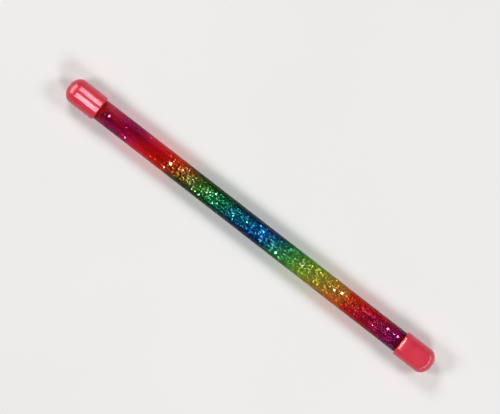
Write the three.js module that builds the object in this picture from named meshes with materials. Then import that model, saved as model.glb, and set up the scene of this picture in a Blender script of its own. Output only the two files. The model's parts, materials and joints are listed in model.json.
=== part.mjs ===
// A glitter wand: a clear tube lined with a rainbow film and filled with liquid and loose glitter flakes,
// closed at each end by a push-in stopper and a domed cap. It lies along X and rests on the plane Z = 0,
// with the middle of its length at X = 0. Its upper end is at -X and its lower end at +X. Millimetres.
import * as THREE from "three";

// Tube
const TOTAL_LENGTH = 320;
const TUBE_OUTER_DIAMETER = 16.8;
const TUBE_WALL = 0.4;

// Caps
const CAP_WALL = 0.9;
const CAP_LENGTH = 27;
const CAP_DOME_DEPTH = 7.2;
const CAP_END_WALL = 1.5;
const CAP_END_FLAT_DIAMETER = 5;
const CAP_SEAT_LEDGE = 1.1;
const CAP_RIM_ROUND = 0.5;

// Stoppers
const STOPPER_HEAD_THICKNESS = 2.4;
const STOPPER_WALL = 1.8;
const STOPPER_FLOOR = 2.5;
const STOPPER_NOSE_LENGTH = 5.2;
const STOPPER_REVEAL = 2.5;
const STOPPER_NOSE_ROUND = 0.6;
const STOPPER_RIB_HEIGHT = 0.35;
const STOPPER_RIB_WIDTH = 1.4;
const STOPPER_RIB_PITCH = 3.6;

// Rainbow film, rolled into a tube with an open seam at the bottom
const FILM_THICKNESS = 0.25;
const FILM_SEAM_GAP = 1.2;

// Glitter flakes: six-sided chips, shared out over four zones of the liquid, fewest at the upper end.
// From one flake to the next the spin, the tilt and the lane move on by a step.
const FLAKE_WIDTH = 1.6;
const FLAKE_THICKNESS = 0.2;
const FLAKE_TILT = THREE.MathUtils.degToRad(14);
const FLAKE_SPIN_STEP = THREE.MathUtils.degToRad(75);
const FLAKE_TILT_STEP = THREE.MathUtils.degToRad(137);
const FLAKE_LANE_STEP = 3;
const GLITTER_ZONES = [
  { name: "upper", flakes: 6 },
  { name: "upper_middle", flakes: 12 },
  { name: "lower_middle", flakes: 14 },
  { name: "lower", flakes: 16 },
];

// Clearances
const CAP_CLEARANCE = 0.2;
const RIB_CLEARANCE = 0.15;
const FILM_CLEARANCE = 0.15;
const NOSE_CLEARANCE = 0.3;
const END_CLEARANCE = 0.3;
const FLAKE_CLEARANCE = 0.4;
const LANE_CLEARANCE = 0.4;

// Smoothness of the round shapes
const SIDES = 32;
const DOME_STEPS = 8;
const ROUND_STEPS = 4;
const FLAKE_SIDES = 6;

// Radii, from the tube outwards and inwards
const tubeRadius = TUBE_OUTER_DIAMETER / 2;
const boreRadius = tubeRadius - TUBE_WALL;
const capBoreRadius = tubeRadius + CAP_CLEARANCE;
const capRadius = capBoreRadius + CAP_WALL;
const capLedgeRadius = capBoreRadius - CAP_SEAT_LEDGE;
const filmOuterRadius = boreRadius - FILM_CLEARANCE;
const filmInnerRadius = filmOuterRadius - FILM_THICKNESS;
const ribRadius = boreRadius - RIB_CLEARANCE;
const shankRadius = ribRadius - STOPPER_RIB_HEIGHT;
const noseRadius = filmInnerRadius - NOSE_CLEARANCE;
const stopperCoreRadius = noseRadius - STOPPER_WALL;

// The flakes ride in a ring between the liquid's core and the film, each in a lane of its own
const flakeReach = FLAKE_WIDTH * Math.sin(FLAKE_TILT) + FLAKE_THICKNESS;
const channelDepth = flakeReach + 2 * FLAKE_CLEARANCE;
const laneRadius = filmInnerRadius - channelDepth / 2;
const liquidRadius = filmInnerRadius - channelDepth;
const laneCount = Math.floor((2 * Math.PI * laneRadius) / (FLAKE_WIDTH + LANE_CLEARANCE));
const lanesPerZone = Math.floor(laneCount / GLITTER_ZONES.length);
const laneAngle = (2 * Math.PI) / (lanesPerZone * GLITTER_ZONES.length);

// Places along the wand, as distances in from the tip of a cap
const seatDepth = CAP_DOME_DEPTH;
const headStart = seatDepth + END_CLEARANCE;
const headEnd = headStart + STOPPER_HEAD_THICKNESS;
const tubeStart = headEnd + END_CLEARANCE;
const noseEnd = CAP_LENGTH + STOPPER_REVEAL;
const noseStart = noseEnd - STOPPER_NOSE_LENGTH;
const filmStart = noseStart + END_CLEARANCE;
const liquidStart = noseEnd + END_CLEARANCE;
const zoneLength = (TOTAL_LENGTH - 2 * liquidStart) / GLITTER_ZONES.length;

// The wand's axis stands as high as the flat facet under its caps
const axisHeight = capRadius * Math.cos(Math.PI / SIDES);

const capRed = { color: 0xd2394d, roughness: 0.22, metalness: 0 };
const stopperRed = { color: 0xb52a3a, roughness: 0.45, metalness: 0 };
const clearPlastic = { color: 0xf2f5f7, roughness: 0.08, metalness: 0, transparent: true, opacity: 0.3 };
const rainbowTint = { color: 0x9a2c5c, roughness: 0.2, metalness: 0, transparent: true, opacity: 0.6 };
const clearLiquid = { color: 0xe4ecf0, roughness: 0.05, metalness: 0, transparent: true, opacity: 0.25 };
const silverFlake = { color: 0xd8dade, roughness: 0.18, metalness: 1 };

function piece(name, geometry, finish) {
  const mesh = new THREE.Mesh(geometry, new THREE.MeshStandardMaterial(finish));
  mesh.name = name;
  return mesh;
}

// Turns a profile of [radius, distance along the axis] points round the wand's axis, which runs along X.
// The facets are set so that one lies flat at the bottom.
function turned(profile) {
  const points = profile.map(([radius, along]) => new THREE.Vector2(radius, along));
  const geometry = new THREE.LatheGeometry(points, SIDES, Math.PI / SIDES);
  return geometry.rotateZ(-Math.PI / 2);
}

// Points on a quarter of an ellipse, from angle 0 to endAngle, as [across, along] pairs
function arcPoints(across, along, endAngle, steps) {
  const points = [];
  for (let step = 0; step <= steps; step += 1) {
    const angle = (endAngle * step) / steps;
    points.push([across * Math.cos(angle), along * Math.sin(angle)]);
  }
  return points;
}

// A hollow cap, drawn with its tip at 0 and its open rim at CAP_LENGTH
function capProfile() {
  const flatRadius = CAP_END_FLAT_DIAMETER / 2;
  const flatAngle = Math.acos(flatRadius / capRadius);
  const outerDepth = CAP_DOME_DEPTH / Math.sin(flatAngle);
  const outerDome = arcPoints(capRadius, outerDepth, flatAngle, DOME_STEPS);
  const innerDome = arcPoints(capLedgeRadius, seatDepth - CAP_END_WALL, Math.PI / 2, DOME_STEPS);
  const rimRound = arcPoints(CAP_RIM_ROUND, CAP_RIM_ROUND, Math.PI / 2, ROUND_STEPS);
  const rimCentre = capRadius - CAP_RIM_ROUND;
  return [
    [0, 0],
    ...outerDome.reverse().map(([r, s]) => [r, CAP_DOME_DEPTH - s]),
    ...rimRound.map(([r, s]) => [rimCentre + r, CAP_LENGTH - CAP_RIM_ROUND + s]),
    [capBoreRadius, CAP_LENGTH],
    [capBoreRadius, seatDepth],
    ...innerDome.slice(0, -1).map(([r, s]) => [r, seatDepth - s]),
    [0, CAP_END_WALL],
  ];
}

// A hollow stopper: a head on the tube's end, a ribbed shank in the bore and a nose inside the film's end.
// The ribs are counted back from the nose, and the film's end stops at the first of them.
function stopperProfile() {
  const shankLength = noseStart - headEnd;
  const ribCount = Math.max(1, Math.floor(shankLength / STOPPER_RIB_PITCH));
  const ribs = [];
  for (let rib = ribCount - 1; rib >= 0; rib -= 1) {
    const ribEnd = noseStart - rib * STOPPER_RIB_PITCH;
    ribs.push(
      [shankRadius, ribEnd - STOPPER_RIB_WIDTH],
      [ribRadius, ribEnd - STOPPER_RIB_WIDTH / 2],
      [ribRadius, ribEnd],
      [rib === 0 ? noseRadius : shankRadius, ribEnd],
    );
  }
  const noseRound = arcPoints(STOPPER_NOSE_ROUND, STOPPER_NOSE_ROUND, Math.PI / 2, ROUND_STEPS);
  const noseCentre = noseRadius - STOPPER_NOSE_ROUND;
  return [
    [0, noseEnd - STOPPER_FLOOR],
    [stopperCoreRadius, noseEnd - STOPPER_FLOOR],
    [stopperCoreRadius, headStart],
    [tubeRadius, headStart],
    [tubeRadius, headEnd],
    [shankRadius, headEnd],
    ...ribs,
    ...noseRound.map(([r, s]) => [noseCentre + r, noseEnd - STOPPER_NOSE_ROUND + s]),
    [0, noseEnd],
  ];
}

// The tube is a plain ring that ends under the heads of the stoppers
function tubeGeometry() {
  const end = TOTAL_LENGTH / 2 - tubeStart;
  return turned([
    [boreRadius, -end],
    [tubeRadius, -end],
    [tubeRadius, end],
    [boreRadius, end],
    [boreRadius, -end],
  ]);
}

// The film's open ring is drawn in the plane across the wand and drawn out along it
function filmGeometry() {
  const halfSeam = FILM_SEAM_GAP / 2 / filmInnerRadius;
  const seamMiddle = -Math.PI / 2;
  const outline = new THREE.Shape();
  outline.absarc(0, 0, filmOuterRadius, seamMiddle + halfSeam, seamMiddle - halfSeam + 2 * Math.PI, false);
  outline.absarc(0, 0, filmInnerRadius, seamMiddle - halfSeam + 2 * Math.PI, seamMiddle + halfSeam, true);
  outline.closePath();
  const length = TOTAL_LENGTH - 2 * filmStart;
  const options = { depth: length, bevelEnabled: false, curveSegments: SIDES, steps: 1 };
  const geometry = new THREE.ExtrudeGeometry(outline, options);
  return geometry.translate(0, 0, -length / 2).rotateZ(Math.PI / 2).rotateY(Math.PI / 2);
}

function liquidGeometry() {
  const end = TOTAL_LENGTH / 2 - liquidStart;
  return turned([
    [0, -end],
    [liquidRadius, -end],
    [liquidRadius, end],
    [0, end],
  ]);
}

// One chip in its lane: spun about the lane's radius, tilted a little, and set at its place along the wand
function flake(name, along, lane, number) {
  const chip = new THREE.CylinderGeometry(FLAKE_WIDTH / 2, FLAKE_WIDTH / 2, FLAKE_THICKNESS, FLAKE_SIDES);
  chip.rotateX(Math.PI / 2);
  chip.rotateZ(number * FLAKE_SPIN_STEP);
  chip.rotateX(FLAKE_TILT * Math.sin(number * FLAKE_TILT_STEP));
  chip.translate(0, 0, laneRadius);
  chip.rotateX(lane * laneAngle);
  chip.translate(along, 0, 0);
  return piece(name, chip, silverFlake);
}

// The flakes of one zone stand at even steps along it and take turns in the lanes that the zone owns
function zoneFlakes(zone, zoneIndex) {
  const zoneStart = -TOTAL_LENGTH / 2 + liquidStart + zoneIndex * zoneLength;
  const step = zoneLength / zone.flakes;
  const flakes = [];
  for (let number = 0; number < zone.flakes; number += 1) {
    const lane = zoneIndex + GLITTER_ZONES.length * ((number * FLAKE_LANE_STEP) % lanesPerZone);
    const name = `${zone.name}_flake_${String(number + 1).padStart(2, "0")}`;
    flakes.push(flake(name, zoneStart + (number + 0.5) * step, lane, number + zoneIndex));
  }
  return flakes;
}

// One end of the wand, drawn at -X and turned round for the other end
function wandEnd(side, turn) {
  const end = new THREE.Group();
  const fittings = new THREE.Group();
  fittings.add(piece(`${side}_cap`, turned(capProfile()), capRed));
  fittings.add(piece(`${side}_stopper`, turned(stopperProfile()), stopperRed));
  fittings.position.x = -TOTAL_LENGTH / 2;
  end.add(fittings);
  end.rotation.z = turn;
  return end;
}

const wand = new THREE.Group();
wand.add(piece("outer_tube", tubeGeometry(), clearPlastic));
wand.add(piece("rainbow_film", filmGeometry(), rainbowTint));
wand.add(piece("liquid_fill", liquidGeometry(), clearLiquid));
wand.add(wandEnd("upper", 0));
wand.add(wandEnd("lower", Math.PI));
GLITTER_ZONES.forEach((zone, index) => wand.add(...zoneFlakes(zone, index)));
wand.position.z = axisHeight;

export default wand;
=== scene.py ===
# %% [markdown]
# # A glitter wand
# The wand is a clear tube with a red domed cap on each end. Inside it are a rolled rainbow film, a clear
# liquid and thousands of loose silver flakes. The working model already gives every piece its place and
# size, so the lesson starts by loading it and reading its boxes. Blender then makes the smooth surfaces
# and the finishes around those numbers.

# %% Load the working model and read its boxes
import json
import math
import random
from dataclasses import dataclass

import bpy
import numpy as np
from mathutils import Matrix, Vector


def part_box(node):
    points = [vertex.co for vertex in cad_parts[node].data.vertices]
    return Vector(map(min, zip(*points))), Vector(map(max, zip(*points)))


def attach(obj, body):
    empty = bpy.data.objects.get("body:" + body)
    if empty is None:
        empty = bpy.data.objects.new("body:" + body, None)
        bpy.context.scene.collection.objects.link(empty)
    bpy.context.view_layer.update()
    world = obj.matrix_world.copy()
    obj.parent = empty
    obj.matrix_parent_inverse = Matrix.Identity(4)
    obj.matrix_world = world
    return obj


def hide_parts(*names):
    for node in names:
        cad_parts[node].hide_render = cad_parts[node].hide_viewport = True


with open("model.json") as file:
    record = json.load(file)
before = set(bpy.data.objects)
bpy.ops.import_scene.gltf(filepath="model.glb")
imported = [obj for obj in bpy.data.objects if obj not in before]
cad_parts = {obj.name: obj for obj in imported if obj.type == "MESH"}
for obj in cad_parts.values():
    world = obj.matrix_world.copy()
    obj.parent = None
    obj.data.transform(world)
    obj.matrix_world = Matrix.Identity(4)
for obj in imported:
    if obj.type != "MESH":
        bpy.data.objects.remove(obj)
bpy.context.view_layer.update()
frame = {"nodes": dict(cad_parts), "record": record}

MM = 0.001
cap_low, cap_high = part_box("upper_cap")
tube_low, tube_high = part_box("outer_tube")
film_low, film_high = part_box("rainbow_film")
plug_low, plug_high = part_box("upper_stopper")
liquid_low, liquid_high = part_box("liquid_fill")

axis_z = (cap_low.z + cap_high.z) / 2
cap_radius = (cap_high.z - cap_low.z) / 2
tube_radius = (tube_high.z - tube_low.z) / 2
print(f"the axis is {axis_z / MM:.2f} mm up")
print(f"cap radius {cap_radius / MM:.2f} mm, tube radius {tube_radius / MM:.2f} mm")

# %% [markdown]
# ## The camera
# The picture to match looks straight down, and the wand is as wide at one end as at the other. That is how
# a long lens sees a flat object, and an orthographic camera gives it exactly. The camera is turned about
# the vertical, so that the wand runs from the upper left to the lower right. Its scale is the width of the
# picture in real size.

# %% Set up the camera
PICTURE_WIDTH = 500
PICTURE_HEIGHT = 414
PIXEL = 0.6984 * MM
WAND_MIDDLE_ACROSS = 250.35
WAND_MIDDLE_DOWN = 225.8
CAMERA_TURN = math.radians(37.85)
CAMERA_HEIGHT = 1.0

picture_right = Vector((math.cos(CAMERA_TURN), math.sin(CAMERA_TURN), 0))
picture_up = Vector((-math.sin(CAMERA_TURN), math.cos(CAMERA_TURN), 0))
wand_right = (WAND_MIDDLE_ACROSS - PICTURE_WIDTH / 2) * PIXEL
wand_down = (WAND_MIDDLE_DOWN - PICTURE_HEIGHT / 2) * PIXEL
camera_data = bpy.data.cameras.new("camera")
camera_data.type = "ORTHO"
camera_data.ortho_scale = PICTURE_WIDTH * PIXEL
camera = bpy.data.objects.new("camera", camera_data)
camera.location = wand_down * picture_up - wand_right * picture_right + Vector((0, 0, CAMERA_HEIGHT))
camera.rotation_euler = (0, 0, CAMERA_TURN)
bpy.context.scene.collection.objects.link(camera)
bpy.context.scene.camera = camera
print(f"the picture is {camera_data.ortho_scale / MM:.0f} mm wide")

# %% [markdown]
# ## Turned shapes
# Caps, stoppers and the liquid are round about the wand's axis. One way to make them is to spin a drawn
# profile, which leaves a seam to weld. Here a filled disc is extruded from point to point along the profile
# and scaled at each step, as a hand would do it with the extrude and scale keys. The disc closes both
# ends by itself, so the shape is sealed from the start.

# %% A helper that draws a disc along a profile
ROUND_SIDES = 96
SMOOTH_ANGLE = math.radians(35)
WELD_DISTANCE = 0.002 * MM


def start_disc(name, x, radius, fill):
    bpy.ops.object.select_all(action="DESELECT")
    bpy.ops.mesh.primitive_circle_add(
        vertices=ROUND_SIDES,
        radius=radius,
        fill_type=fill,
        location=(x, 0, axis_z),
        rotation=(0, math.pi / 2, 0),
    )
    piece = bpy.context.object
    piece.name = name
    bpy.ops.object.transform_apply(location=True, rotation=True, scale=True)
    bpy.ops.object.mode_set(mode="EDIT")
    bpy.ops.mesh.select_all(action="SELECT")
    return piece


def close_up(piece):
    bpy.ops.mesh.select_all(action="SELECT")
    bpy.ops.mesh.remove_doubles(threshold=WELD_DISTANCE)
    bpy.ops.mesh.normals_make_consistent(inside=False)
    bpy.ops.object.mode_set(mode="OBJECT")
    bpy.ops.object.shade_smooth_by_angle(angle=SMOOTH_ANGLE)
    print(f"{piece.name}: {len(piece.data.polygons)} faces")


def turned(name, profile):
    (x, radius), *steps = profile
    piece = start_disc(name, x, radius, "TRIFAN")
    for next_x, next_radius in steps:
        bpy.ops.mesh.extrude_region_move(TRANSFORM_OT_translate={"value": (next_x - x, 0, 0)})
        grow = next_radius / radius
        bpy.ops.transform.resize(value=(1, grow, grow), center_override=(next_x, 0, axis_z))
        x, radius = next_x, next_radius
    close_up(piece)
    return piece


print(f"turned shapes have {ROUND_SIDES} sides")

# %% [markdown]
# A moulded edge is never quite sharp. A helper gives the points of a rounded edge, as part of an ellipse. A
# long straight run next to a rounded edge gets a holding ring close to that edge, so that smooth shading
# doesn't bend the light along the whole run.

# %% A helper that rounds an edge
HOLD = 0.4 * MM


def arc(middle_x, middle_radius, along, across, start, end, steps):
    points = []
    for step in range(steps + 1):
        angle = math.radians(start + (end - start) * step / steps)
        points.append((middle_x + along * math.cos(angle), middle_radius + across * math.sin(angle)))
    return points


print(f"holding rings stand {HOLD / MM:.1f} mm from an edge")

# %% [markdown]
# ## The caps
# Each cap is one moulding in glossy coral red plastic: a straight sleeve, a shallow dome and a small flat
# at the tip that the wand can stand on. The profile goes from the tip over the dome and along the sleeve,
# rounds the rim and comes back inside, so the cap has a real wall and a rim with thickness. The lower cap
# is the same moulding turned about the middle of the wand.

# %% Model one cap and turn a copy of it
DOME_DEPTH = 7.2 * MM
DOME_STEPS = 20
TIP_FLAT_RADIUS = 2.5 * MM
CAP_WALL = 0.9 * MM
CAP_END_WALL = 1.5 * MM
CAP_LEDGE = 1.1 * MM
CAP_RIM_ROUND = 0.5 * MM
CAP_RIM_STEPS = 6
HOLLOW_TOP = 80
HOLLOW_STEPS = 12


def other_end(piece, name):
    bpy.ops.object.select_all(action="DESELECT")
    piece.select_set(True)
    bpy.context.view_layer.objects.active = piece
    bpy.ops.object.duplicate(linked=False)
    copy = bpy.context.object
    copy.name = name
    bpy.ops.transform.rotate(value=math.pi, orient_axis="Z", center_override=(0, 0, 0))
    bpy.ops.object.transform_apply(location=True, rotation=True, scale=True)
    return copy


def falling_angles(top, steps):
    return [math.radians(top * (1 - step / steps)) for step in range(steps + 1)]


def cap_profile():
    tip = cap_low.x
    rim = cap_high.x
    seat = tip + DOME_DEPTH
    bore = cap_radius - CAP_WALL
    flat_angle = math.degrees(math.acos(TIP_FLAT_RADIUS / cap_radius))
    full_depth = DOME_DEPTH / math.sin(math.radians(flat_angle))
    over = falling_angles(flat_angle, DOME_STEPS)
    dome = [(seat - full_depth * math.sin(angle), cap_radius * math.cos(angle)) for angle in over]
    edge = CAP_RIM_ROUND
    outer_rim = arc(rim - edge, cap_radius - edge, edge, edge, 90, 0, CAP_RIM_STEPS)
    held = [(seat + HOLD, cap_radius), (rim - edge - HOLD, cap_radius)]
    hollow = DOME_DEPTH - CAP_END_WALL
    ledge = bore - CAP_LEDGE
    under = reversed(falling_angles(HOLLOW_TOP, HOLLOW_STEPS))
    inner_dome = [(seat - hollow * math.sin(angle), ledge * math.cos(angle)) for angle in under]
    return [*dome, *held, *outer_rim, (rim, bore), (seat, bore), *inner_dome]


upper_cap = turned("upper_cap_shell", cap_profile())
lower_cap = other_end(upper_cap, "lower_cap_shell")

# %% [markdown]
# ## The stoppers
# Behind each cap a push-in plug keeps the liquid in. It has a head on the tube's end, ribs that seal in the
# bore and a nose that reaches a little past the cap's rim, where it shows through the film as a dark red
# band. It is a hollow moulding, so its profile starts at the floor of its hollow.

# %% Model one stopper and turn a copy of it
PLUG_CORE_RADIUS = 5.5 * MM
PLUG_FLOOR = 2.5 * MM
PLUG_HEAD = 2.4 * MM
PLUG_EDGE_ROUND = 0.5 * MM
PLUG_EDGE_STEPS = 5
PLUG_NOSE_RADIUS = 7.3 * MM
PLUG_NOSE_LENGTH = 5.2 * MM
PLUG_NOSE_STEPS = 6
PLUG_SHANK_RADIUS = 7.5 * MM
PLUG_RIB_HEIGHT = 0.35 * MM
PLUG_RIB_WIDTH = 1.4 * MM
PLUG_RIB_PITCH = 3.6 * MM
PLUG_RIB_STEPS = 8
PLUG_RIBS = 4


def plug_profile():
    head = plug_low.x
    nose = plug_high.x
    head_end = head + PLUG_HEAD
    ribs_end = nose - PLUG_NOSE_LENGTH
    points = [(nose - PLUG_FLOOR, PLUG_CORE_RADIUS), (head, PLUG_CORE_RADIUS)]
    edge = PLUG_EDGE_ROUND
    points += arc(head + edge, tube_radius - edge, edge, edge, 180, 90, PLUG_EDGE_STEPS)
    points += arc(head_end - edge, tube_radius - edge, edge, edge, 90, 0, PLUG_EDGE_STEPS)
    points.append((head_end, PLUG_SHANK_RADIUS))
    for rib in reversed(range(PLUG_RIBS)):
        middle = ribs_end - PLUG_RIB_WIDTH / 2 - rib * PLUG_RIB_PITCH
        points += arc(middle, PLUG_SHANK_RADIUS, PLUG_RIB_WIDTH / 2, PLUG_RIB_HEIGHT, 180, 0, PLUG_RIB_STEPS)
    points.append((ribs_end, PLUG_NOSE_RADIUS))
    points += arc(nose - edge, PLUG_NOSE_RADIUS - edge, edge, edge, 90, 0, PLUG_NOSE_STEPS)
    return points


upper_plug = turned("upper_stopper_plug", plug_profile())
lower_plug = other_end(upper_plug, "lower_stopper_plug")

# %% [markdown]
# ## The clear tube
# The tube is a plain length of extruded plastic pipe. A ring is drawn out along the wand and the Solidify
# modifier gives it its wall, which is how pipe is made: one outline, one thickness. A Bevel modifier takes
# the sharpness off the cut ends.

# %% Draw out the tube and give it its wall
TUBE_WALL = 0.4 * MM
TUBE_END_BEVEL = 0.12 * MM
TUBE_BEVEL_STEPS = 2
TUBE_BEVEL_ANGLE = math.radians(60)


def draw_out(low_x, high_x):
    for run in (HOLD, high_x - low_x - 2 * HOLD, HOLD):
        bpy.ops.mesh.extrude_region_move(TRANSFORM_OT_translate={"value": (run, 0, 0)})


def give_wall(piece, wall):
    solid = piece.modifiers.new("wall", "SOLIDIFY")
    solid.thickness = wall
    solid.offset = -1
    solid.use_even_offset = True
    bpy.ops.object.modifier_apply(modifier=solid.name)


tube = start_disc("clear_tube", tube_low.x, tube_radius, "NOTHING")
draw_out(tube_low.x, tube_high.x)
close_up(tube)
give_wall(tube, TUBE_WALL)
bevel = tube.modifiers.new("bevel", "BEVEL")
bevel.width = TUBE_END_BEVEL
bevel.segments = TUBE_BEVEL_STEPS
bevel.limit_method = "ANGLE"
bevel.angle_limit = TUBE_BEVEL_ANGLE
bpy.ops.object.modifier_apply(modifier=bevel.name)
bpy.ops.object.shade_smooth_by_angle(angle=SMOOTH_ANGLE)
print(f"{tube.name}: {len(tube.data.polygons)} faces with its wall")

# %% [markdown]
# ## The rainbow film
# The colour is not in the tube or the liquid. It is a printed film, rolled up and slid into the bore, where
# it springs out against the wall and leaves a narrow seam. The seam is turned to the bottom. The ring loses
# its lowest point before it is drawn out, the two ends are pulled almost together, and Solidify then closes
# the edges of the seam.

# %% Roll the film
FILM_THICKNESS = 0.25 * MM
FILM_BORE_GAP = 0.03 * MM
SEAM_HALF_GAP = 0.1 * MM

film_radius = tube_radius - TUBE_WALL - FILM_BORE_GAP
film = start_disc("rainbow_lining", film_low.x, film_radius, "NOTHING")
bpy.ops.mesh.select_all(action="DESELECT")
bpy.ops.object.mode_set(mode="OBJECT")
lowest = min(film.data.vertices, key=lambda corner: corner.co.z)
lowest.select = True
bpy.ops.object.mode_set(mode="EDIT")
bpy.ops.mesh.delete(type="VERT")
bpy.ops.object.mode_set(mode="OBJECT")
ends = sorted(film.data.vertices, key=lambda corner: corner.co.z)[:2]
for end in ends:
    end.select = True
pull = SEAM_HALF_GAP / abs(ends[0].co.y)
bpy.ops.object.mode_set(mode="EDIT")
bpy.ops.transform.resize(value=(1, pull, 1), center_override=(film_low.x, 0, axis_z))
bpy.ops.mesh.select_all(action="SELECT")
draw_out(film_low.x, film_high.x)
close_up(film)
give_wall(film, FILM_THICKNESS)
bpy.ops.object.shade_smooth_by_angle(angle=SMOOTH_ANGLE)
print(f"{film.name}: {len(film.data.polygons)} faces with its thickness")

# %% [markdown]
# ## The liquid
# The clear liquid fills the film from one stopper's nose to the other. The working model only holds the
# core of it, to leave room for the flakes it counts. Here it is the full column, with round edges where it
# meets the stoppers, and the flakes lie inside it.

# %% Fill the tube
LIQUID_FILM_GAP = 0.08 * MM
LIQUID_EDGE_ROUND = 0.4 * MM
LIQUID_EDGE_STEPS = 5


def liquid_profile():
    radius = film_radius - FILM_THICKNESS - LIQUID_FILM_GAP
    edge = LIQUID_EDGE_ROUND
    start = liquid_low.x + edge
    end = liquid_high.x - edge
    near_edge = arc(start, radius - edge, edge, edge, 180, 90, LIQUID_EDGE_STEPS)
    far_edge = arc(end, radius - edge, edge, edge, 90, 0, LIQUID_EDGE_STEPS)
    return [*near_edge, (start + HOLD, radius), (end - HOLD, radius), *far_edge]


liquid = turned("clear_liquid", liquid_profile())

# %% [markdown]
# ## The glitter
# A flake is a six-sided chip punched from thin metallised foil. One chip is modelled and repeated. The
# flakes drift in four groups that slide past each other, so each group keeps to lanes of its own along the
# wand, and no flake of one group can cut through a flake of another. Within a lane, two flakes are also
# tested against each other as discs, and a flake that would cut its neighbour is turned another way.

# %% Model one chip
FLAKE_SIDES = 6
UNIT_HALF = 0.5

bpy.ops.object.select_all(action="DESELECT")
bpy.ops.mesh.primitive_circle_add(
    vertices=FLAKE_SIDES,
    radius=UNIT_HALF,
    fill_type="NGON",
    location=(0, 0, -UNIT_HALF),
)
chip = bpy.context.object
bpy.ops.object.transform_apply(location=True, rotation=True, scale=True)
bpy.ops.object.mode_set(mode="EDIT")
bpy.ops.mesh.select_all(action="SELECT")
bpy.ops.mesh.extrude_region_move(TRANSFORM_OT_translate={"value": (0, 0, 2 * UNIT_HALF)})
bpy.ops.mesh.select_all(action="SELECT")
bpy.ops.mesh.normals_make_consistent(inside=False)
bpy.ops.object.mode_set(mode="OBJECT")
chip_points = np.array([corner.co for corner in chip.data.vertices])
chip_faces = [tuple(face.vertices) for face in chip.data.polygons]
bpy.data.objects.remove(chip)
print(f"one chip has {len(chip_points)} points and {len(chip_faces)} faces")

# %% [markdown]
# The working model holds a few dozen large flakes. Each keeps its exact place here: its middle, its flat
# direction and one of its corners are read back from its mesh. Every flake also gets a tone, by chance, that
# says how clean its foil is. Towards the lower end the tones are duller.

# %% Read the large flakes
ZONES = ("upper", "upper_middle", "lower_middle", "lower")
BRIGHT_UNTIL = 10 * MM
DULL_FROM = 45 * MM
DULL_TONE = 0.38
SAME_POINT_DIGITS = 7
DICE_SEED = 20

dice = random.Random(DICE_SEED)


@dataclass
class Flake:
    middle: Vector
    normal: Vector
    corner: Vector
    width: float
    thickness: float
    tone: float

    def points(self):
        side = self.normal.cross(self.corner)
        axes = np.array([self.corner, side, self.normal])
        size = np.array([self.width, self.width, self.thickness])
        return np.array(self.middle) + (chip_points * size) @ axes


def ease(x, start, end, first, last):
    rise = min(1, max(0, (x - start) / (end - start)))
    return first + (last - first) * rise * rise * (3 - 2 * rise)


def tone_at(x):
    return dice.random() * ease(x, BRIGHT_UNTIL, DULL_FROM, 1, DULL_TONE)


def large_flake(node):
    corners = np.array([corner.co for corner in frame["nodes"][node].data.vertices])
    corners = np.unique(np.round(corners, SAME_POINT_DIGITS), axis=0)
    middle = corners.mean(axis=0)
    spread = corners - middle
    normal = np.linalg.svd(spread)[2][2]
    heights = spread @ normal
    flat = spread - np.outer(heights, normal)
    reaches = np.linalg.norm(flat, axis=1)
    corner = Vector(flat[reaches.argmax()]).normalized()
    width = 2 * reaches.max()
    thickness = heights.max() - heights.min()
    return Flake(Vector(middle), Vector(normal), corner, width, thickness, tone_at(middle[0]))


bodies = frame["record"]["behaviour"]["bodies"]
large = {zone: [large_flake(node) for node in bodies[f"{zone}_glitter"]] for zone in ZONES}
for zone in ZONES:
    widths = [flake.width / MM for flake in large[zone]]
    print(f"{zone}: {len(widths)} large flakes, {max(widths):.2f} mm wide")

# %% [markdown]
# A lane is a straight channel along the wand with a rectangular section. Twenty lanes stand in a ring
# against the film and hold the larger flakes. Inside the ring, lanes for smaller flakes make a square
# lattice. The lanes are dealt out to the four groups in turn. The lattice is turned, and each of its columns
# starts about two groups further on than the one before, so that from above no stripes show. From a few
# angles fine lines are still seen.

# %% Share out the lanes
RING_LANES = 20
RING_RADIUS = 7.05 * MM
RING_HALF_DEPTH = 0.35 * MM
RING_HALF_WIDTH = 0.95 * MM
RING_FLAKE_PITCH = 1.6 * MM
RING_WIDEST = 1.6 * MM
LATTICE_PITCH = 1.34 * MM
LATTICE_HALF_WIDTH = 0.65 * MM
LATTICE_FLAKE_PITCH = 0.2 * MM
LATTICE_WIDEST = 1.24 * MM
LATTICE_TURN = math.atan(0.5)
LATTICE_REACH = 6.6 * MM
LATTICE_LINES = range(-4, 5)
COLUMN_STEP = 2.2


@dataclass
class Lane:
    middle: Vector
    first: Vector
    second: Vector
    half_first: float
    half_second: float
    pitch: float
    widest: float


def ring_lanes(group):
    sizes = (RING_HALF_DEPTH, RING_HALF_WIDTH, RING_FLAKE_PITCH, RING_WIDEST)
    lanes = []
    for number in range(group, RING_LANES, len(ZONES)):
        angle = 2 * math.pi * number / RING_LANES
        outward = Vector((0, -math.sin(angle), math.cos(angle)))
        sideways = Vector((0, math.cos(angle), math.sin(angle)))
        lanes.append(Lane(RING_RADIUS * outward, outward, sideways, *sizes))
    return lanes


def lattice_lanes(group):
    first = Vector((0, math.cos(LATTICE_TURN), math.sin(LATTICE_TURN)))
    second = Vector((0, -math.sin(LATTICE_TURN), math.cos(LATTICE_TURN)))
    half = LATTICE_HALF_WIDTH
    sizes = (half, half, LATTICE_FLAKE_PITCH, LATTICE_WIDEST)
    lanes = []
    for row in LATTICE_LINES:
        for column in LATTICE_LINES:
            row_reach = abs(row) * LATTICE_PITCH + half
            column_reach = abs(column) * LATTICE_PITCH + half
            fits = math.hypot(row_reach, column_reach) < LATTICE_REACH
            dealt_to = (row + round(COLUMN_STEP * column)) % len(ZONES)
            if fits and dealt_to == group:
                middle = LATTICE_PITCH * (row * first + column * second)
                lanes.append(Lane(middle, first, second, *sizes))
    return lanes


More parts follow.
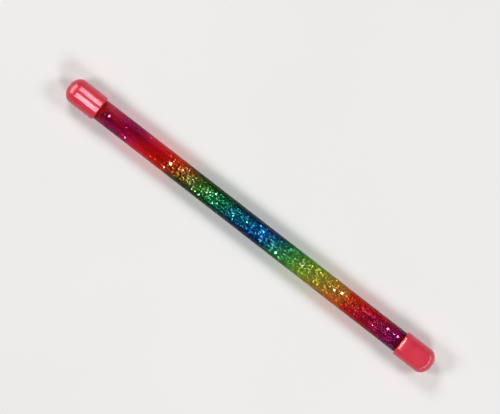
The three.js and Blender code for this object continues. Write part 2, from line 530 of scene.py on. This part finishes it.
lanes_of = [ring_lanes(group) + lattice_lanes(group) for group in range(len(ZONES))]
print([len(lanes) for lanes in lanes_of], "lanes for each group")

# %% [markdown]
# Loose flakes must not cut through each other. Two flat discs cut each other where their planes meet, if
# both reach that line and their stretches of it overlap. A flake is first set on its lane's middle line with
# a chance direction, and then moved sideways by chance, within the room that its lane has.

# %% Helpers that place one fine flake
NARROWEST_SHARE = 0.7
FINE_THICKNESS = 0.06 * MM
END_GAP = 0.05 * MM
SMALLEST_TURN = 1e-6
ALONG = Vector((1, 0, 0))


def any_direction():
    return Vector((dice.gauss(0, 1), dice.gauss(0, 1), dice.gauss(0, 1))).normalized()


def cut_each_other(one, other):
    gap = other.middle - one.middle
    line = one.normal.cross(other.normal)
    turn = max(line.length, SMALLEST_TURN)
    from_one = abs(gap.dot(other.normal)) / turn
    from_other = abs(gap.dot(one.normal)) / turn
    if from_one >= one.width / 2 or from_other >= other.width / 2:
        return False
    half_one = math.sqrt(one.width**2 / 4 - from_one**2)
    half_other = math.sqrt(other.width**2 / 4 - from_other**2)
    return abs(gap.dot(line)) / turn < half_one + half_other


def reach(flake, direction):
    lean = flake.normal.dot(direction)
    return flake.width / 2 * math.sqrt(1 - lean**2) + flake.thickness / 2 * abs(lean)


def fine_flake(lane, x, start, end):
    normal = any_direction()
    corner = normal.cross(any_direction()).normalized()
    width = lane.widest * dice.uniform(NARROWEST_SHARE, 1)
    middle = Vector((x, 0, axis_z)) + lane.middle
    flake = Flake(middle, normal, corner, width, FINE_THICKNESS, tone_at(x))
    room_first = lane.half_first - reach(flake, lane.first)
    room_second = lane.half_second - reach(flake, lane.second)
    room_along = min(x - start, end - x) - reach(flake, ALONG)
    if min(room_first, room_second, room_along - END_GAP) < 0:
        return None
    flake.middle += dice.uniform(-room_first, room_first) * lane.first
    flake.middle += dice.uniform(-room_second, room_second) * lane.second
    return flake


print(f"fine flakes are {FINE_THICKNESS / MM:.2f} mm thick")

# %% [markdown]
# The glitter thins out towards the upper end. The chance that a place in a lane holds a flake rises smoothly
# along the wand, and it also swells and sinks along each lane, so that flakes lie in short clumps. The mix
# has two kinds of foil, and each kind becomes a piece of its own. Most flakes are satin. Up to one in four
# is mirror bright, and fewer are towards the lower end.

# %% Fill the lanes
SPARSE_UNTIL = -81 * MM
DENSE_FROM = -47 * MM
SPARSE_SHARE = 0.016
BRIGHT_SHARE = 0.25
DULL_SHARE = 0.06
SHORTEST_CLUMP = 2.2 * MM
LONGEST_CLUMP = 4.5 * MM
THIN_SHARE = 0.1
PITCH_SPREAD = 0.5
NEIGHBOUR_REACH = 2 * MM
LATEST = 20
TRIES = 12


def share_at(x):
    return ease(x, SPARSE_UNTIL, DENSE_FROM, SPARSE_SHARE, 1)


def bright_share_at(x):
    return ease(x, BRIGHT_UNTIL, DULL_FROM, BRIGHT_SHARE, DULL_SHARE)


def fill_lane(lane, start, end, kept):
    clump = dice.uniform(SHORTEST_CLUMP, LONGEST_CLUMP)
    first_clump = dice.uniform(0, clump)
    flakes = []
    x = start
    while x < end:
        x += lane.pitch * dice.uniform(1 - PITCH_SPREAD, 1 + PITCH_SPREAD)
        swell = (1 + math.sin(2 * math.pi * (x - first_clump) / clump)) / 2
        if dice.random() > share_at(x) * (THIN_SHARE + (1 - THIN_SHARE) * swell):
            continue
        near = [other for other in flakes[-LATEST:] + kept if abs(other.middle.x - x) < NEIGHBOUR_REACH]
        for _ in range(TRIES):
            flake = fine_flake(lane, x, start, end)
            if flake and not any(cut_each_other(flake, other) for other in near):
                flakes.append(flake)
                break
    return flakes


def glitter_mesh(name, flakes):
    points = np.concatenate([flake.points() for flake in flakes])
    faces = []
    for number in range(len(flakes)):
        first = number * len(chip_points)
        faces += [tuple(first + corner for corner in face) for face in chip_faces]
    mesh = bpy.data.meshes.new(name)
    mesh.from_pydata(points, [], faces)
    tones = np.repeat([flake.tone for flake in flakes], len(chip_faces))
    mesh.attributes.new("flake_tone", "FLOAT", "FACE").data.foreach_set("value", tones)
    piece = bpy.data.objects.new(name, mesh)
    bpy.context.scene.collection.objects.link(piece)
    return piece


zone_length = (liquid_high.x - liquid_low.x) / len(ZONES)
satin = {}
bright = {}
for number, zone in enumerate(ZONES):
    start = liquid_low.x + number * zone_length
    satin_flakes = large[zone][0::2]
    bright_flakes = large[zone][1::2]
    for lane in lanes_of[number]:
        for flake in fill_lane(lane, start, start + zone_length, large[zone]):
            kind = bright_flakes if dice.random() < bright_share_at(flake.middle.x) else satin_flakes
            kind.append(flake)
    satin[zone] = glitter_mesh(f"{zone}_satin_flakes", satin_flakes)
    bright[zone] = glitter_mesh(f"{zone}_bright_flakes", bright_flakes)
    print(f"{zone}: {len(satin_flakes)} satin flakes and {len(bright_flakes)} bright ones")

# %% [markdown]
# ## Finishes
# Every finish is a small set of shader nodes. Patterns read Object coordinates, which are real metres here,
# because each piece sits at the origin with its place in its mesh. A number that is the same all over is
# set on the shader itself. Noise hardly ever comes near 0 or 1, so its useful middle is stretched.

# %% Helpers for the finishes
PATTERN_LOW = 0.3
PATTERN_HIGH = 0.7


def start_finish(name):
    finish = bpy.data.materials.new(name)
    finish.use_nodes = True
    tree = finish.node_tree
    return finish, tree, tree.nodes["Principled BSDF"]


def add_node(tree, kind, **links):
    node = tree.nodes.new(kind)
    for socket, source in links.items():
        tree.links.new(source, node.inputs[socket])
    return node


def maths(tree, operation, first, second):
    node = tree.nodes.new("ShaderNodeMath")
    node.operation = operation
    for socket, value in zip(node.inputs, (first, second)):
        if isinstance(value, (int, float)):
            socket.default_value = value
        else:
            tree.links.new(value, socket)
    return node.outputs["Value"]


def object_place(tree):
    return tree.nodes.new("ShaderNodeTexCoord").outputs["Object"]


def turned_away(tree):
    return tree.nodes.new("ShaderNodeLayerWeight").outputs["Facing"]


def grain(tree, size, detail=3):
    node = add_node(tree, "ShaderNodeTexNoise", Vector=object_place(tree))
    node.inputs["Scale"].default_value = 1 / size
    node.inputs["Detail"].default_value = detail
    return node.outputs["Fac"]


def between(tree, value, low, high):
    node = add_node(tree, "ShaderNodeMapRange", Value=value)
    node.inputs["From Min"].default_value = PATTERN_LOW
    node.inputs["From Max"].default_value = PATTERN_HIGH
    node.inputs["To Min"].default_value = low
    node.inputs["To Max"].default_value = high
    return node.outputs["Result"]


def two_tones(tree, value, first, second):
    node = add_node(tree, "ShaderNodeValToRGB", Fac=value)
    ends = zip(node.color_ramp.elements, (PATTERN_LOW, PATTERN_HIGH), (first, second))
    for stop, position, colour in ends:
        stop.position = position
        stop.color = (*colour, 1)
    return node.outputs["Color"]


def raised(tree, height, depth):
    node = add_node(tree, "ShaderNodeBump", Height=height)
    node.inputs["Strength"].default_value = 1
    node.inputs["Distance"].default_value = depth
    return node.outputs["Normal"]


def wear(piece, *finishes):
    piece.data.materials.clear()
    for finish in finishes:
        piece.data.materials.append(finish)


print("helpers are ready")

# %% [markdown]
# ### Cap plastic
# The caps are injection moulded in a coral red. Up close the colour is a little uneven where the plastic
# flowed, and the gloss has a faint orange peel. Both are noise patterns: a broad one for the colour and a
# fine one for the roughness and the bump.

# %% Cap plastic
FLOW_MARK = 9 * MM
ORANGE_PEEL = 1.4 * MM
PEEL_DEPTH = 0.0012 * MM
CORAL_TONES = ((0.60, 0.036, 0.062), (0.67, 0.046, 0.08))
CAP_ROUGHNESS = (0.14, 0.22)
CAP_SHINE = 0.3


def cap_plastic():
    finish, tree, shader = start_finish("coral_cap_plastic")
    peel = grain(tree, ORANGE_PEEL, detail=2)
    colour = two_tones(tree, grain(tree, FLOW_MARK), *CORAL_TONES)
    tree.links.new(colour, shader.inputs["Base Color"])
    tree.links.new(between(tree, peel, *CAP_ROUGHNESS), shader.inputs["Roughness"])
    tree.links.new(raised(tree, peel, PEEL_DEPTH), shader.inputs["Normal"])
    shader.inputs["Specular IOR Level"].default_value = CAP_SHINE
    return finish


cap_finish = cap_plastic()
wear(upper_cap, cap_finish)
wear(lower_cap, cap_finish)
print(f"{cap_finish.name}: {len(cap_finish.node_tree.nodes)} nodes")

# %% [markdown]
# ### Stopper plastic
# The stoppers are a softer plastic in a darker red, with a satin skin that the mould left slightly rough.

# %% Stopper plastic
SATIN_GRAIN = 0.6 * MM
SATIN_DEPTH = 0.01 * MM
STOPPER_TONES = ((0.40, 0.018, 0.03), (0.48, 0.025, 0.04))
STOPPER_ROUGHNESS = (0.4, 0.55)


def plug_plastic():
    finish, tree, shader = start_finish("red_stopper_plastic")
    skin = grain(tree, SATIN_GRAIN)
    colour = two_tones(tree, grain(tree, FLOW_MARK), *STOPPER_TONES)
    tree.links.new(colour, shader.inputs["Base Color"])
    tree.links.new(between(tree, skin, *STOPPER_ROUGHNESS), shader.inputs["Roughness"])
    tree.links.new(raised(tree, skin, SATIN_DEPTH), shader.inputs["Normal"])
    return finish


plug_finish = plug_plastic()
wear(upper_plug, plug_finish)
wear(lower_plug, plug_finish)
print(f"{plug_finish.name}: {len(plug_finish.node_tree.nodes)} nodes")

# %% [markdown]
# ### Clear plastic
# Glass shaders bend light, and light bent through tube, film and liquid would take very long to find the
# flakes. A Transparent shader mixed with a mirror by the angle of view looks much the same on so thin a wall
# and lets every lamp through. The bore reflects next to nothing: the film and the liquid touch the wall
# there, and there is hardly a step between them for light to bounce from.

# %% Clear plastic for the tube
HANDLING_MARKS = 6 * MM
MARKS_DETAIL = 4
FACING_SHARE = 0.012
GLOSS_POWER = 5
TUBE_ROUGHNESS = (0.02, 0.07)
TUBE_TINT = (0.985, 0.985, 0.985)
BORE_ROUGHNESS = (0.05, 0.12)
BORE_GLOSS = 0.005
BORE_TINT = (0.99, 0.99, 0.99)


def edge_gloss(tree):
    steep = maths(tree, "POWER", turned_away(tree), GLOSS_POWER)
    share = add_node(tree, "ShaderNodeMapRange", Value=steep)
    share.inputs["To Min"].default_value = FACING_SHARE
    return share.outputs["Result"]


def see_through(tree, shader, share, tint=(1, 1, 1)):
    clear = tree.nodes.new("ShaderNodeBsdfTransparent")
    clear.inputs["Color"].default_value = (*tint, 1)
    mix = tree.nodes.new("ShaderNodeMixShader")
    tree.links.new(clear.outputs["BSDF"], mix.inputs[1])
    tree.links.new(shader.outputs["BSDF"], mix.inputs[2])
    if isinstance(share, float):
        mix.inputs["Fac"].default_value = share
    else:
        tree.links.new(share, mix.inputs["Fac"])
    tree.links.new(mix.outputs["Shader"], tree.nodes["Material Output"].inputs["Surface"])
    return clear


def start_mirror(name, roughness):
    finish, tree, shader = start_finish(name)
    marks = grain(tree, HANDLING_MARKS, MARKS_DETAIL)
    tree.links.new(between(tree, marks, *roughness), shader.inputs["Roughness"])
    shader.inputs["Base Color"].default_value = (1, 1, 1, 1)
    shader.inputs["Metallic"].default_value = 1
    return finish, tree, shader


def clear_plastic():
    finish, tree, shader = start_mirror("clear_tube_plastic", TUBE_ROUGHNESS)
    see_through(tree, shader, edge_gloss(tree), TUBE_TINT)
    return finish


def wetted_bore():
    finish, tree, shader = start_mirror("wetted_tube_bore", BORE_ROUGHNESS)
    see_through(tree, shader, BORE_GLOSS, BORE_TINT)
    return finish


wear(tube, clear_plastic(), wetted_bore())
wall_middle = tube_radius - TUBE_WALL / 2
for face in tube.data.polygons:
    face.material_index = int(math.hypot(face.center.y, face.center.z - axis_z) < wall_middle)
print(f"{tube.name}: {sum(face.material_index for face in tube.data.polygons)} faces line the bore")

# %% [markdown]
# ### The film's inks
# A rainbow is printed with three see-through inks, cyan, magenta and yellow, that fade over one another. An
# ink is given by the shares of red, green and blue light that a full layer lets through. Layers multiply
# these shares, so an amount of ink is a power. Each row has a name, a place along the wand in millimetres
# and the amounts of the three inks there.

# %% Mix the inks
CYAN = (0.2, 0.6, 0.75)
MAGENTA = (0.95, 0.4, 0.7)
YELLOW = (0.95, 0.9, 0.45)


def mixed(cyan, magenta, yellow):
    shares = zip(CYAN, MAGENTA, YELLOW)
    return tuple(c**cyan * m**magenta * y**yellow for c, m, y in shares)


DYES = (
    ("mauve", -132, mixed(0, 0.5, 0.25)),
    ("plum", -112, mixed(0.1, 1, 0)),
    ("rose", -92, mixed(0, 0.75, 0.25)),
    ("scarlet", -78, mixed(0, 0.75, 0.75)),
    ("orange", -66, mixed(0, 0.5, 1)),
    ("olive", -52, mixed(0.25, 0.25, 1)),
    ("green", -32, mixed(0.75, 0, 0.75)),
    ("teal", -18, mixed(1, 0, 0.25)),
    ("blue", 12, mixed(1, 0.25, 0)),
    ("sage", 28, mixed(0.5, 0, 0.5)),
    ("yellow", 52, mixed(0.1, 0, 0.75)),
    ("gold", 83, mixed(0, 0.25, 0.75)),
    ("vermilion", 85, mixed(0, 0.5, 1)),
    ("crimson", 97, mixed(0, 1, 0.5)),
    ("purple", 128, mixed(0.1, 1, 0)),
)
print(", ".join(name for name, place, dye in DYES))

# %% [markdown]
# ### Rainbow film
# The bands of colour lean across the wand, because the sheet was rolled at a slant. The pattern's coordinate
# is therefore the distance along the wand less a share of the way round it. Two lengths of print meet at a
# straight join. A Color Ramp holds the dyes. Light passes the film's faces on its way in and again on its
# way out, so the colour that is seen is far deeper than that of one face. Light that crosses at a slant meets
# more ink, and the sides of the tube look darkest. A Gamma node deepens the dye by the angle, up to a limit,
# because plastic bends a slanting ray steeper.

# %% Rainbow film
BAND_LEAN = 0.45
BAND_WAVER = 3 * MM
WAVER_SIZE = 25 * MM
PRINT_JOIN = 84 * MM
JOIN_BLUR = 1 * MM
FILM_GLOSS = 0.015
FILM_ROUGHNESS = (0.12, 0.2)
INK_DEPTH = 4
SLANT_SHARE = 0.95
MOST_INK = 2.2


def along_the_print(tree):
    place = add_node(tree, "ShaderNodeSeparateXYZ", Vector=object_place(tree)).outputs
    height = maths(tree, "SUBTRACT", place["Z"], axis_z)
    way_round = maths(tree, "ARCTAN2", place["Y"], height)
    slant = maths(tree, "MULTIPLY", way_round, BAND_LEAN * film_radius)
    straight = maths(tree, "SUBTRACT", place["X"], slant)
    waver = between(tree, grain(tree, WAVER_SIZE, detail=2), -BAND_WAVER, BAND_WAVER)
    along = maths(tree, "ADD", straight, waver)
    first_length = maths(tree, "MINIMUM", along, PRINT_JOIN - JOIN_BLUR)
    second_length = maths(tree, "MAXIMUM", along, PRINT_JOIN + JOIN_BLUR)
    past_join = maths(tree, "GREATER_THAN", place["X"], PRINT_JOIN)
    step = maths(tree, "MULTIPLY", maths(tree, "SUBTRACT", second_length, first_length), past_join)
    return maths(tree, "ADD", first_length, step)


def dye_ramp(tree):
    first, last = DYES[0][1] * MM, DYES[-1][1] * MM
    share = add_node(tree, "ShaderNodeMapRange", Value=along_the_print(tree))
    share.inputs["From Min"].default_value = first
    share.inputs["From Max"].default_value = last
    ramp = add_node(tree, "ShaderNodeValToRGB", Fac=share.outputs["Result"])
    stops = ramp.color_ramp.elements
    stops.remove(stops[1])
    for number, (_, place, dye) in enumerate(DYES):
        position = (place * MM - first) / (last - first)
        stop = stops[0] if number == 0 else stops.new(position)
        stop.position = position
        stop.color = (*dye, 1)
    return ramp.outputs["Color"]


def ink_met(tree):
    slant = maths(tree, "MULTIPLY", turned_away(tree), SLANT_SHARE)
    crossing = maths(tree, "DIVIDE", 1, maths(tree, "SUBTRACT", 1, slant))
    return maths(tree, "MINIMUM", crossing, MOST_INK)


def rainbow_film():
    finish, tree, shader = start_finish("printed_rainbow_film")
    dye = dye_ramp(tree)
    ink = add_node(tree, "ShaderNodeGamma", Color=dye)
    ink.inputs["Gamma"].default_value = INK_DEPTH
    tree.links.new(ink.outputs["Color"], shader.inputs["Base Color"])
    marks = grain(tree, HANDLING_MARKS)
    tree.links.new(between(tree, marks, *FILM_ROUGHNESS), shader.inputs["Roughness"])
    clear = see_through(tree, shader, FILM_GLOSS)
    slanted = add_node(tree, "ShaderNodeGamma", Color=dye, Gamma=ink_met(tree))
    tree.links.new(slanted.outputs["Color"], clear.inputs["Color"])
    return finish


film_finish = rainbow_film()
wear(film, film_finish)
print(f"{film_finish.name}: {len(DYES)} dyes along {film_high.x - film_low.x:.3f} m")

# %% [markdown]
# ### Liquid and flakes
# The liquid is almost nothing to look at: a trace of haze that drifts through it. The flakes are silver. All
# their colour comes through the film, so a flake that drifts along the wand changes colour as it goes. An
# attribute holds each flake's tone, which sets how bright and how smooth that flake is.

# %% Liquid and flakes
HAZE_SIZE = 30 * MM
HAZE_SHARE = (0.001, 0.006)
HAZE_COLOUR = (0.9, 0.92, 0.94)
HAZE_ROUGHNESS = 0.1
LIQUID_TINT = (0.995, 0.995, 0.995)
SATIN_TONES = ((0.30, 0.31, 0.32), (0.90, 0.91, 0.93))
SATIN_ROUGHNESS = (0.5, 0.31)
BRIGHT_TONES = ((0.30, 0.30, 0.31), (0.94, 0.94, 0.95))
BRIGHT_ROUGHNESS = (0.26, 0.17)


def clear_liquid():
    finish, tree, shader = start_finish("clear_liquid")
    haze = grain(tree, HAZE_SIZE, detail=2)
    shader.inputs["Base Color"].default_value = (*HAZE_COLOUR, 1)
    shader.inputs["Metallic"].default_value = 1
    shader.inputs["Roughness"].default_value = HAZE_ROUGHNESS
    see_through(tree, shader, between(tree, haze, *HAZE_SHARE), LIQUID_TINT)
    return finish


def silver_foil(name, tones, roughness):
    finish, tree, shader = start_finish(name)
    tone = tree.nodes.new("ShaderNodeAttribute")
    tone.attribute_name = "flake_tone"
    value = tone.outputs["Fac"]
    tree.links.new(two_tones(tree, value, *tones), shader.inputs["Base Color"])
    tree.links.new(between(tree, value, *roughness), shader.inputs["Roughness"])
    shader.inputs["Metallic"].default_value = 1
    return finish


wear(liquid, clear_liquid())
satin_foil = silver_foil("satin_silver_foil", SATIN_TONES, SATIN_ROUGHNESS)
bright_foil = silver_foil("bright_silver_foil", BRIGHT_TONES, BRIGHT_ROUGHNESS)
for zone in ZONES:
    wear(satin[zone], satin_foil)
    wear(bright[zone], bright_foil)
print(f"{satin_foil.name} and {bright_foil.name} are on {len(ZONES)} groups of flakes")

# %% [markdown]
# ## What moves with what
# Caps, stoppers, tube, film and liquid are one body. Each group of flakes rides on its own body, which
# slides along the wand. Every piece stands for nodes of the working model, which are then hidden.

# %% Ride the pieces on their bodies
STANDS_FOR = (
    (upper_cap, "wand", "cap_plastic", ["upper_cap"]),
    (lower_cap, "wand", "cap_plastic", ["lower_cap"]),
    (upper_plug, "wand", "stopper_plastic", ["upper_stopper"]),
    (lower_plug, "wand", "stopper_plastic", ["lower_stopper"]),
    (tube, "wand", "tube_plastic", ["outer_tube"]),
    (film, "wand", "rainbow_film", ["rainbow_film"]),
    (liquid, "wand", "liquid", ["liquid_fill"]),
    *((satin[zone], f"{zone}_glitter", "glitter", bodies[f"{zone}_glitter"][0::2]) for zone in ZONES),
    *((bright[zone], f"{zone}_glitter", "glitter", bodies[f"{zone}_glitter"][1::2]) for zone in ZONES),
)
for piece, body, slot, nodes in STANDS_FOR:
    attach(piece, body)
    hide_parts(*nodes)
    print(f"{piece.name} rides on {body} and stands for {len(nodes)} nodes")

# %% [markdown]
# ## Floor
# The floor is plain and pale, with a mottle that is only just there. It belongs to the stage and not to the
# wand.

# %% Floor
FLOOR_SIDE = 8
FLOOR_MOTTLE = 0.2
FLOOR_TONES = ((0.80, 0.79, 0.78), (0.82, 0.81, 0.80))
FLOOR_ROUGHNESS = 0.7
FLOOR_SHINE = 0.1

bpy.ops.object.select_all(action="DESELECT")
bpy.ops.mesh.primitive_plane_add(size=FLOOR_SIDE)
floor = bpy.context.object
floor.name = "floor"


def pale_floor():
    finish, tree, shader = start_finish("pale_floor")
    mottle = grain(tree, FLOOR_MOTTLE, detail=2)
    tree.links.new(two_tones(tree, mottle, *FLOOR_TONES), shader.inputs["Base Color"])
    shader.inputs["Roughness"].default_value = FLOOR_ROUGHNESS
    shader.inputs["Specular IOR Level"].default_value = FLOOR_SHINE
    return finish


wear(floor, pale_floor())
print("floor is", tuple(round(side, 1) for side in floor.dimensions), "m")

# %% [markdown]
# ## Light
# Four key boxes light everything from above. Glossy faces don't see them, so they leave no streaks on the
# caps. Each reflection then gets a light of its own, which Light Linking keeps to the pieces it is meant for.

# %% Key boxes
KEY_ALONG = 1.1
KEY_ACROSS = 0.8
KEY_HEIGHT = 1.25
KEY_SIDE = 0.6
KEY_POWER = 12.8
MIDDLE = (0, 0, axis_z)


def soft_box(name, place, aim, width, depth, power):
    lamp = bpy.data.lights.new(name, "AREA")
    lamp.shape = "RECTANGLE"
    lamp.size = width
    lamp.size_y = depth
    lamp.energy = power
    box = bpy.data.objects.new(name, lamp)
    box.location = place
    box.rotation_euler = (Vector(aim) - Vector(place)).to_track_quat("-Z", "Y").to_euler()
    box.visible_camera = False
    bpy.context.scene.collection.objects.link(box)
    return box


for across in (-KEY_ACROSS, KEY_ACROSS):
    for along in (-KEY_ALONG, KEY_ALONG):
        key = soft_box("key_box", (along, across, KEY_HEIGHT), MIDDLE, KEY_SIDE, KEY_SIDE, KEY_POWER)
        key.visible_glossy = False
print(f"key boxes give {KEY_POWER} W each")

# %% [markdown]
# A low box beyond each end of the wand puts a soft sheen on that cap's dome. A thin strip close above the
# lower cap's rim gives the rim its bright edge.

# %% Lights for the domes and the rim
UPPER_BOX_PLACE = (-0.95, 0, 0.38)
UPPER_BOX_SIZE = (1.2, 0.78)
UPPER_BOX_POWER = 29
LOWER_BOX_PLACE = (0.95, 0, 0.115)
LOWER_BOX_SIZE = (3.0, 0.22)
LOWER_BOX_POWER = 15
RIM_STRIP_INSET = 1.5 * MM
RIM_STRIP_ACROSS = 2 * MM
RIM_STRIP_HEIGHT = 15 * MM
RIM_STRIP_SIZE = (1.4 * MM, 30 * MM)
RIM_STRIP_POWER = 0.0033


def group_of(name, pieces):
    group = bpy.data.collections.new(name)
    for piece in pieces:
        group.objects.link(piece)
    return group


def shine_on(lamp, pieces):
    lamp.visible_diffuse = False
    lamp.light_linking.receiver_collection = group_of(lamp.name, pieces)


upper_box = soft_box("low_upper_box", UPPER_BOX_PLACE, MIDDLE, *UPPER_BOX_SIZE, UPPER_BOX_POWER)
shine_on(upper_box, (upper_cap,))
lower_box = soft_box("low_lower_box", LOWER_BOX_PLACE, MIDDLE, *LOWER_BOX_SIZE, LOWER_BOX_POWER)
shine_on(lower_box, (lower_cap,))
rim_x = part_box("lower_cap")[0].x + RIM_STRIP_INSET
rim_place = (rim_x, RIM_STRIP_ACROSS, axis_z + RIM_STRIP_HEIGHT)
rim_aim = (rim_x, RIM_STRIP_ACROSS, 0)
rim_strip = soft_box("rim_strip", rim_place, rim_aim, *RIM_STRIP_SIZE, RIM_STRIP_POWER)
shine_on(rim_strip, (lower_cap,))
print(f"the rim strip stands {RIM_STRIP_HEIGHT / MM:.0f} mm over the axis")

# %% [markdown]
# The flakes are lit by lamps all round. A few large ones give the satin flakes an even glow. Many small ones
# make the bright flakes sparkle. Only solid pieces block the small ones, so their light goes in through the
# film unchanged, and the film colours it only on its way out.

# %% Lamps for the flakes
LAMP_DISTANCE = 1.4
FIRST_LAMP = 0.3
SATIN_LAMPS = 9
SATIN_ZENITHS = (20, 45, 65)
SATIN_LAMP_SIDE = 0.7
SATIN_LAMP_POWER = 24
SPARKLE_LAMPS = 24
SPARKLE_ZENITHS = (12, 30, 50, 70)
SPARKLE_LAMP_SIDE = 0.28
SPARKLE_LAMP_POWER = 15
CAPS = (upper_cap, lower_cap)
SOLID = (*CAPS, upper_plug, lower_plug, *satin.values(), *bright.values())


def lamps_round(name, count, zeniths, side, power, pieces):
    lamps = []
    for number in range(count):
        azimuth = 2 * math.pi * (number + FIRST_LAMP) / count
        zenith = math.radians(zeniths[number % len(zeniths)])
        level = math.sin(zenith)
        place = Vector((level * math.cos(azimuth), level * math.sin(azimuth), math.cos(zenith)))
        lamp = soft_box(name, LAMP_DISTANCE * place, MIDDLE, side, side, power)
        shine_on(lamp, pieces)
        lamps.append(lamp)
    return lamps


lamps_round("satin_lamp", SATIN_LAMPS, SATIN_ZENITHS, SATIN_LAMP_SIDE, SATIN_LAMP_POWER, satin.values())
sparkle_lamps = lamps_round(
    "sparkle_lamp",
    SPARKLE_LAMPS,
    SPARKLE_ZENITHS,
    SPARKLE_LAMP_SIDE,
    SPARKLE_LAMP_POWER,
    bright.values(),
)
for lamp in sparkle_lamps:
    lamp.light_linking.blocker_collection = group_of(lamp.name, SOLID)
print(f"{SATIN_LAMPS} lamps for satin flakes and {SPARKLE_LAMPS} for bright ones")

# %% [markdown]
# Two strips over the upper cap give it the pair of bright lines that glossy plastic shows under a window. The
# world adds a little light from everywhere. A ray to a flake crosses many clear faces, so the limit on them
# is raised.

# %% Window strips and world
STRIP_HEIGHT = 120 * MM
STRIP_MIDDLE = -141.5 * MM
STRIP_LENGTH = 25 * MM
STRIP_EDGES = ((32 * MM, 165 * MM), (-17 * MM, -123 * MM))
STRIP_POWER = 0.22
STRIP_COLOUR = (0.9, 0.9, 1)
WORLD_STRENGTH = 0.06
CLEAR_FACES = 48

for near, far in STRIP_EDGES:
    across = (near + far) / 2
    place = (STRIP_MIDDLE, across, axis_z + STRIP_HEIGHT)
    aim = (STRIP_MIDDLE, across, 0)
    strip = soft_box("window_strip", place, aim, STRIP_LENGTH, abs(far - near), STRIP_POWER)
    strip.data.color = STRIP_COLOUR
    shine_on(strip, CAPS)

world = bpy.data.worlds.new("studio")
world.use_nodes = True
background = world.node_tree.nodes["Background"]
background.inputs["Color"].default_value = (1, 1, 1, 1)
background.inputs["Strength"].default_value = WORLD_STRENGTH
bpy.context.scene.world = world
bpy.context.scene.view_settings.view_transform = "Standard"
bpy.context.scene.cycles.transparent_max_bounces = CLEAR_FACES
